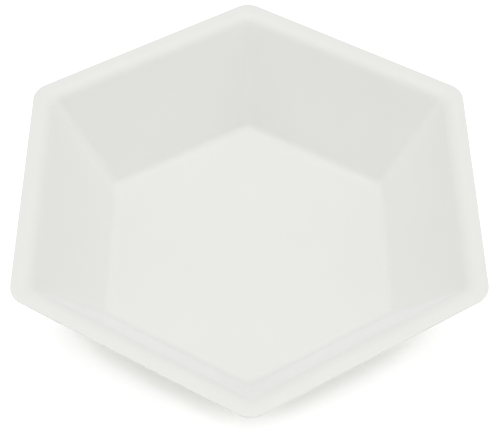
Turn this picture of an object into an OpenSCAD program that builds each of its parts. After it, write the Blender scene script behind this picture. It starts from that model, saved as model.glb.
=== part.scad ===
// Hexagonal weighing boat: one thin moulded shell with a flat floor, six sloping
// walls and a narrow flat brim. Millimetres, +Z up. The origin is at the centre of
// the floor's underside, with the flats facing +X and -X and a corner at +Y and -Y.

/* [Brim] */
// Across the flats of the brim, outside edge to outside edge
brim_flats = 80; // [60:1:140]
// Width of the brim's flat part
brim_w = 1.6; // [1:0.1:6]
// Radius of the roll from the brim down into the wall, on the top face
roll_r = 2.8; // [1.2:0.1:6]

/* [Bowl] */
// Depth from the top of the brim to the top of the floor
depth = 18.8; // [10:0.1:24]
// Slope of the walls from the horizontal, in degrees
wall_slope = 59.5; // [50:0.5:75]
// Radius of the fillet between the floor and the walls, on the top face
floor_fillet_r = 2.2; // [1:0.1:6]
// Radius of the corners between the walls, in plan, on the top face
corner_r = 2.3; // [1:0.1:8]

/* [Sheet] */
// Thickness of the sheet
sheet_t = 0.4; // [0.2:0.05:1]

/* [Hidden] */

// Facets along each rounded corner in plan, and along each fillet of the section
arc_steps = 6;
// How far the cavity's cutter stands out above the brim
cut_clear = 1;

sides = 6;
half_side = 180/sides;
brim_top = depth + sheet_t;
brim_apothem = brim_flats/2;
// The roll's centre is below the brim's inner edge
roll_apothem = brim_apothem - brim_w;
roll_z = brim_top - roll_r;
// Apothems at which the wall's top face would meet the planes of brim and floor
mouth_apothem = roll_apothem - roll_r*tan(wall_slope/2);
foot_apothem = mouth_apothem - depth/tan(wall_slope);
// The floor fillet's centre is above the edge of the flat floor
fillet_apothem = foot_apothem - floor_fillet_r*tan(wall_slope/2);
fillet_z = sheet_t + floor_fillet_r;

// Points of the section, as [apothem, z], along an arc between two angles
function arc(apothem, z, r, from, to) = [
    for (i = [0:arc_steps])
        let (angle = from + (to - from)*i/arc_steps)
        [apothem + r*cos(angle), z + r*sin(angle)]
];

// The section from the floor up to the brim, a distance below the top face
function skin(drop) = concat(
    arc(fillet_apothem, fillet_z, floor_fillet_r + drop, -90, wall_slope - 90),
    arc(roll_apothem, roll_z, roll_r - drop, 90 + wall_slope, 90)
);

// The hexagon at one height, with round corners of radius r in plan
function ring(apothem, r, z) = [
    for (corner = [0:sides - 1], i = [0:arc_steps])
        let (
            middle = half_side + 2*half_side*corner,
            angle = middle - half_side + 2*half_side*i/arc_steps,
            reach = (apothem - r)/cos(half_side)
        )
        [reach*cos(middle) + r*cos(angle), reach*sin(middle) + r*sin(angle), z]
];

// The rings of the face that lies a distance below the top face. Its corners keep
// the same centres as the top face's, so the sheet is as thick there as elsewhere.
function skin_rings(drop) = let (top = skin(0), face = skin(drop)) [
    for (i = [0:len(face) - 1])
        ring(face[i].x, corner_r + face[i].x - top[i].x, face[i].y)
];

// A closed solid through a stack of rings, from the lowest to the highest
module loft(rings) {
    n = len(rings[0]);
    last = len(rings) - 1;
    walls = [
        for (level = [0:last - 1], i = [0:n - 1])
            let (next = (i + 1) % n)
            [level*n + i, (level + 1)*n + i, (level + 1)*n + next, level*n + next]
    ];
    bottom = [for (i = [0:n - 1]) i];
    top = [for (i = [0:n - 1]) last*n + n - 1 - i];
    polyhedron(points = [for (r = rings) each r], faces = concat(walls, [bottom, top]));
}

// The underside of the bowl and the brim's cut edge, filled up to the brim's top
module outside() {
    edge_r = corner_r + brim_w;
    loft(concat(
        skin_rings(sheet_t),
        [for (z = [brim_top - sheet_t, brim_top]) ring(brim_apothem, edge_r, z)]
    ));
}

// The space that the boat holds, run out above the brim
module cavity() {
    loft(concat(skin_rings(0), [ring(roll_apothem, corner_r, brim_top + cut_clear)]));
}

module weighing_boat() {
    color("whitesmoke") difference() {
        outside();
        cavity();
    }
}

weighing_boat();
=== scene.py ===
"""Looks of the hexagonal weighing boat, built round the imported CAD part.

One piece: a thin formed sheet of white satin plastic. The CAD node is replaced by the
same shell with finer fillets and eased edges. Lengths are in metres.
"""
import math

import bmesh
import bpy
from mathutils import Matrix, Vector


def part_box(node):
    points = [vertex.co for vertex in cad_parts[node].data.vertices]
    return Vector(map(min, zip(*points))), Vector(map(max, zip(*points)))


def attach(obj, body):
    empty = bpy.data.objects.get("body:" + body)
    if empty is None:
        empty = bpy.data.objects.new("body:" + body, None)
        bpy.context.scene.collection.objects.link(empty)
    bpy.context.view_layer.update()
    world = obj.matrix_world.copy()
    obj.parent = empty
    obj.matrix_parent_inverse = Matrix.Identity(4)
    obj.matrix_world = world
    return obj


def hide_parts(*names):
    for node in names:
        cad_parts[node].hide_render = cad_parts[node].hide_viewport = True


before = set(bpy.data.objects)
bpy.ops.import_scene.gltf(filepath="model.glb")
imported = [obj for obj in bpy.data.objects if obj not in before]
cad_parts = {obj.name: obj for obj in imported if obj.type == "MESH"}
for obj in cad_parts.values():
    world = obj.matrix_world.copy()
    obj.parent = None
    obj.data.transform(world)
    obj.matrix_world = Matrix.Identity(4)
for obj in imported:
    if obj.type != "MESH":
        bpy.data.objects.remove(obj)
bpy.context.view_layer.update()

# ---------------------------------------------------------------- the boat's sizes
MM = 0.001
NODE = "weighing_boat"
node_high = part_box(NODE)[1]
HEIGHT = node_high.z
BRIM_APOTHEM = node_high.x
BRIM_W = 1.6 * MM
ROLL_R = 2.8 * MM
WALL_SLOPE = math.radians(59.5)
FLOOR_FILLET_R = 2.2 * MM
CORNER_R = 2.3 * MM
SHEET = 0.4 * MM
EDGE_EASE = 0.08 * MM

SIDES = 6
HALF_SIDE = math.pi / SIDES
QUARTER = math.pi / 2
# Steps along a fillet or a rounded corner, and along each eased edge of the brim
ARC_STEPS = 16
EDGE_STEPS = 3

# The centre of the roll, the apothems at which the wall would meet the planes of the brim and of
# the floor, and the centre of the floor's fillet
roll_apothem = BRIM_APOTHEM - BRIM_W
roll_z = HEIGHT - ROLL_R
depth = HEIGHT - SHEET
mouth_apothem = roll_apothem - ROLL_R * math.tan(WALL_SLOPE / 2)
foot_apothem = mouth_apothem - depth / math.tan(WALL_SLOPE)
fillet_apothem = foot_apothem - FLOOR_FILLET_R * math.tan(WALL_SLOPE / 2)
fillet_z = SHEET + FLOOR_FILLET_R

# ---------------------------------------------------------------- the plastic
PLASTIC_IOR = 1.5
SHEEN = 0.75
SHEEN_ROUGHNESS = 0.5
SHEEN_TINT = (0.975, 0.98, 1.0, 1)
# Faint clouds in the tone, small changes of gloss and a very fine skin, each with its lumps' size
CLOUD_SIZE = 9 * MM
CLOUD_DARK = (0.834, 0.839, 0.806, 1)
CLOUD_LIGHT = (0.841, 0.846, 0.813, 1)
GLOSS_SIZE = 2.5 * MM
GLOSS_ROUGHNESS = (0.43, 0.49)
SKIN_SIZE = 0.8 * MM
SKIN_STRENGTH = 0.3
SKIN_HEIGHT = 0.02 * MM
# A noise texture's values mostly lie in this range
NOISE_RANGE = (0.3, 0.7)

# ---------------------------------------------------------------- the table
TABLE_SIZE = 6.0
# Just clear of the boat's underside, so that the two faces don't coincide
TABLE_GAP = 0.02 * MM
# The table's tone for the light that it sends back to the boat
TABLE_BOUNCE = (0.95, 0.95, 0.95, 1)
# Its tone for the eye, where its painted contact shadow is deepest and in the open: close to the boat
# the table's colour is painted darker, over the lamps' own shadow. It is over 1, because the light on
# the table is under 1 and the open table has to look white.
TABLE_PAINTED_SHADOW = (1.10, 1.10, 1.065, 1)
TABLE_OPEN = (1.40, 1.40, 1.40, 1)
# The painted contact shadow, a darkening of the table's colour by how much the boat hides: how near
# the boat has to be to count, and the openness at which the shadow is deepest and at which it ends
SHADOW_REACH = 10 * MM
SHADOW_OPENNESS = (0.59, 0.78)
SHADOW_SAMPLES = 16

# ---------------------------------------------------------------- the light
WHITE = (1, 1, 1, 1)
WORLD_FILL = 0.55
BACKDROP = 1.0
LAMP_DISTANCE = 2.5
# Each lamp's azimuth (0 is +X) and elevation in degrees, its width and height, and its watts
LAMPS = {
    "top": (0, 90, 1.9, 1.9, 18.0),
    "right": (0, 35, 2.2, 1.9, 11.2),
    "left": (180, 35, 2.2, 1.9, 10.1),
    "front": (270, 13, 2.2, 1.0, 2.4),
}

# ---------------------------------------------------------------- the camera
# Degrees up from the table, round from the front and round the line of sight
CAMERA_ELEVATION, CAMERA_AZIMUTH, CAMERA_ROLL = 53.47, -0.80, 0.60
# In corner reaches: one is the way from the boat's axis to a sharp corner of the brim
CAMERA_DISTANCE = 4.914
CAMERA_TARGET = (0.0024, -0.1640)
# Focal length as a multiple of the sensor's width, and that width in millimetres
CAMERA_ZOOM = 2.623
SENSOR_WIDTH = 36
CLIP_NEAR, CLIP_FAR = 0.01, 10


def arc(across, along, radius, start, end, steps):
    """Points along an arc about a centre, between two angles."""
    turns = [start + (end - start) * i / steps for i in range(steps + 1)]
    return [(across + radius * math.cos(t), along + radius * math.sin(t)) for t in turns]


def sheet_face(drop):
    """The section, as (apothem, z), from the floor up to the brim, a distance below the top face."""
    foot = arc(fillet_apothem, fillet_z, FLOOR_FILLET_R + drop, -QUARTER, WALL_SLOPE - QUARTER, ARC_STEPS)
    roll = arc(roll_apothem, roll_z, ROLL_R - drop, QUARTER + WALL_SLOPE, QUARTER, ARC_STEPS)
    return foot + roll


def brim_edge():
    """The section of the brim's cut edge, from the top face down, eased above and below."""
    apothem = BRIM_APOTHEM - EDGE_EASE
    above = arc(apothem, HEIGHT - EDGE_EASE, EDGE_EASE, QUARTER, 0, EDGE_STEPS)
    below = arc(apothem, HEIGHT - SHEET + EDGE_EASE, EDGE_EASE, 0, -QUARTER, EDGE_STEPS)
    return above + below


def section():
    """The sheet from the floor's top face round to its underside: (apothem, z, corner radius)."""
    top = sheet_face(0)
    under = sheet_face(SHEET)
    brim_corner_r = CORNER_R + BRIM_W
    points = [(a, z, CORNER_R) for a, z in top]
    points += [(a, z, brim_corner_r + a - BRIM_APOTHEM) for a, z in brim_edge()]
    points += [(a, z, CORNER_R + a - top_a) for (a, z), (top_a, _) in reversed(list(zip(under, top)))]
    return points


def ring(apothem, z, radius):
    """The hexagon at one height, with round corners in plan and flats facing +X and -X."""
    reach = (apothem - radius) / math.cos(HALF_SIDE)
    points = []
    for corner in range(SIDES):
        middle = HALF_SIDE + 2 * HALF_SIDE * corner
        start, end = middle - HALF_SIDE, middle + HALF_SIDE
        bend = arc(reach * math.cos(middle), reach * math.sin(middle), radius, start, end, ARC_STEPS)
        points += [(x, y, z) for x, y in bend]
    return points


def build_boat():
    """The shell as one closed mesh, from rings that follow the section."""
    mesh = bmesh.new()
    rings = [[mesh.verts.new(point) for point in ring(*place)] for place in section()]
    count = len(rings[0])
    for here, following in zip(rings, rings[1:]):
        for i in range(count):
            j = (i + 1) % count
            mesh.faces.new((here[i], here[j], following[j], following[i]))
    # The floor is one flat face on top and one below
    mesh.faces.new(reversed(rings[0]))
    mesh.faces.new(rings[-1])
    bmesh.ops.recalc_face_normals(mesh, faces=mesh.faces)
    data = bpy.data.meshes.new("boat")
    mesh.to_mesh(data)
    mesh.free()
    data.shade_smooth()
    boat = bpy.data.objects.new("boat", data)
    bpy.context.scene.collection.objects.link(boat)
    return boat


def set_inputs(node, values):
    """Sets a node's own inputs by name."""
    for name, value in values.items():
        node.inputs[name].default_value = value


def noise(tree, size, detail):
    """A noise over the piece whose lumps are about this size."""
    place = tree.nodes.new("ShaderNodeTexCoord")
    texture = tree.nodes.new("ShaderNodeTexNoise")
    set_inputs(texture, {"Scale": 1 / size, "Detail": detail})
    tree.links.new(place.outputs["Object"], texture.inputs["Vector"])
    return texture.outputs["Fac"]


def spread(tree, value, source, target=(0, 1)):
    """A value mapped from one range to another, and kept inside it."""
    scale = tree.nodes.new("ShaderNodeMapRange")
    set_inputs(scale, {"From Min": source[0], "From Max": source[1],
                       "To Min": target[0], "To Max": target[1]})
    tree.links.new(value, scale.inputs["Value"])
    return scale.outputs["Result"]


def mix_colours(tree, factor, first, second):
    """The first colour where the factor is 0, and the second where it is 1."""
    mix = tree.nodes.new("ShaderNodeMix")
    mix.data_type = "RGBA"
    set_inputs(mix, {"A": first, "B": second})
    tree.links.new(factor, mix.inputs["Factor"])
    return mix.outputs["Result"]


def plastic():
    """White formed polystyrene: satin with a soft sheen, faint clouds and a very fine skin."""
    material = bpy.data.materials.new("white_polystyrene")
    material.use_nodes = True
    tree = material.node_tree
    shader = tree.nodes["Principled BSDF"]
    set_inputs(shader, {"IOR": PLASTIC_IOR, "Sheen Weight": SHEEN,
                        "Sheen Roughness": SHEEN_ROUGHNESS, "Sheen Tint": SHEEN_TINT})

    clouds = spread(tree, noise(tree, CLOUD_SIZE, detail=3), NOISE_RANGE)
    tone = mix_colours(tree, clouds, CLOUD_DARK, CLOUD_LIGHT)
    tree.links.new(tone, shader.inputs["Base Color"])

    gloss = spread(tree, noise(tree, GLOSS_SIZE, detail=4), NOISE_RANGE, GLOSS_ROUGHNESS)
    tree.links.new(gloss, shader.inputs["Roughness"])

    relief = tree.nodes.new("ShaderNodeBump")
    set_inputs(relief, {"Strength": SKIN_STRENGTH, "Distance": SKIN_HEIGHT})
    tree.links.new(noise(tree, SKIN_SIZE, detail=2), relief.inputs["Height"])
    tree.links.new(relief.outputs["Normal"], shader.inputs["Normal"])
    return material


def seen(tree):
    """1 for rays that show a surface, straight or in gloss or glass, and 0 for light on its way."""
    path = tree.nodes.new("ShaderNodeLightPath")
    total = path.outputs["Is Camera Ray"]
    for ray in ("Is Glossy Ray", "Is Transmission Ray"):
        join = tree.nodes.new("ShaderNodeMath")
        join.operation = "MAXIMUM"
        tree.links.new(total, join.inputs[0])
        tree.links.new(path.outputs[ray], join.inputs[1])
        total = join.outputs["Value"]
    return total


def choose(tree, plain, shown, output):
    """Sends one shader to the output for light on its way, and another where it is seen."""
    mix = tree.nodes.new("ShaderNodeMixShader")
    tree.links.new(seen(tree), mix.inputs["Fac"])
    tree.links.new(plain.outputs[0], mix.inputs[1])
    tree.links.new(shown.outputs[0], mix.inputs[2])
    tree.links.new(mix.outputs["Shader"], tree.nodes[output].inputs["Surface"])


def table_white():
    """Plain white for light on its way. For the eye, a painted contact shadow darkens it near the boat.
    """
    material = bpy.data.materials.new("white_table")
    material.use_nodes = True
    tree = material.node_tree
    plain = tree.nodes["Principled BSDF"]
    set_inputs(plain, {"Base Color": TABLE_BOUNCE, "Roughness": 1.0, "Specular IOR Level": 0.0})

    openness = tree.nodes.new("ShaderNodeAmbientOcclusion")
    openness.samples = SHADOW_SAMPLES
    set_inputs(openness, {"Distance": SHADOW_REACH})
    # Painted shadow: the table's tone for the eye goes from the deep tone to the open one as the boat's
    # occlusion fades
    painted_shadow_fade = spread(tree, openness.outputs["AO"], SHADOW_OPENNESS)
    shown = tree.nodes.new("ShaderNodeBsdfDiffuse")
    tree.links.new(mix_colours(tree, painted_shadow_fade, TABLE_PAINTED_SHADOW, TABLE_OPEN), shown.inputs["Color"])
    choose(tree, plain, shown, "Material Output")
    return material


def make_floor():
    """A white table under the boat with a painted contact shadow, wide enough for every view."""
    bpy.ops.mesh.primitive_plane_add(size=TABLE_SIZE, location=(0, 0, -TABLE_GAP))
    floor = bpy.context.object
    floor.name = "table"
    floor.data.materials.append(table_white())


def make_world():
    """An even world, which gives about half of the light and looks white."""
    world = bpy.data.worlds.new("studio")
    bpy.context.scene.world = world
    world.use_nodes = True
    tree = world.node_tree
    fill = tree.nodes["Background"]
    set_inputs(fill, {"Color": WHITE, "Strength": WORLD_FILL})
    backdrop = tree.nodes.new("ShaderNodeBackground")
    set_inputs(backdrop, {"Color": WHITE, "Strength": BACKDROP})
    choose(tree, fill, backdrop, "World Output")


def make_lamps():
    """Soft lamps above the boat, on both its sides and low in front, turned to its middle."""
    middle = Vector((0, 0, HEIGHT / 2))
    for name, (azimuth, elevation, width, height, watts) in LAMPS.items():
        turn, rise = math.radians(azimuth), math.radians(elevation)
        away = Vector((math.cos(turn) * math.cos(rise), math.sin(turn) * math.cos(rise), math.sin(rise)))
        data = bpy.data.lights.new(name, "AREA")
        data.shape = "RECTANGLE"
        data.size, data.size_y, data.energy = width, height, watts
        lamp = bpy.data.objects.new(name, data)
        lamp.location = away * LAMP_DISTANCE + middle
        lamp.rotation_euler = away.to_track_quat("Z", "Y").to_euler()
        lamp.visible_camera = False
        bpy.context.scene.collection.objects.link(lamp)


def make_camera():
    """The photograph's view: from the front, about 53 degrees above the table."""
    elevation, azimuth = math.radians(CAMERA_ELEVATION), math.radians(CAMERA_AZIMUTH)
    roll = math.radians(CAMERA_ROLL)
    corner_reach = BRIM_APOTHEM / math.cos(HALF_SIDE)
    target_x, target_y = (share * corner_reach for share in CAMERA_TARGET)
    target = Vector((target_x, target_y, HEIGHT))
    back = Vector((math.sin(azimuth) * math.cos(elevation),
                   -math.cos(azimuth) * math.cos(elevation), math.sin(elevation)))
    right = Vector((math.cos(azimuth), math.sin(azimuth), 0))
    up = back.cross(right)
    turned_right = right * math.cos(roll) + up * math.sin(roll)
    turned_up = up * math.cos(roll) - right * math.sin(roll)
    data = bpy.data.cameras.new("camera")
    data.sensor_width = SENSOR_WIDTH
    data.lens = CAMERA_ZOOM * SENSOR_WIDTH
    data.clip_start, data.clip_end = CLIP_NEAR, CLIP_FAR
    camera = bpy.data.objects.new("camera", data)
    bpy.context.scene.collection.objects.link(camera)
    turn = Matrix((turned_right, turned_up, back)).transposed().to_4x4()
    place = target + back * CAMERA_DISTANCE * corner_reach
    camera.matrix_world = Matrix.Translation(place) @ turn
    bpy.context.scene.camera = camera


boat = build_boat()
boat.data.materials.append(plastic())
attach(boat, "root")
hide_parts(NODE)
make_floor()
make_world()
make_lamps()
make_camera()
bpy.context.scene.view_settings.view_transform = "Standard"
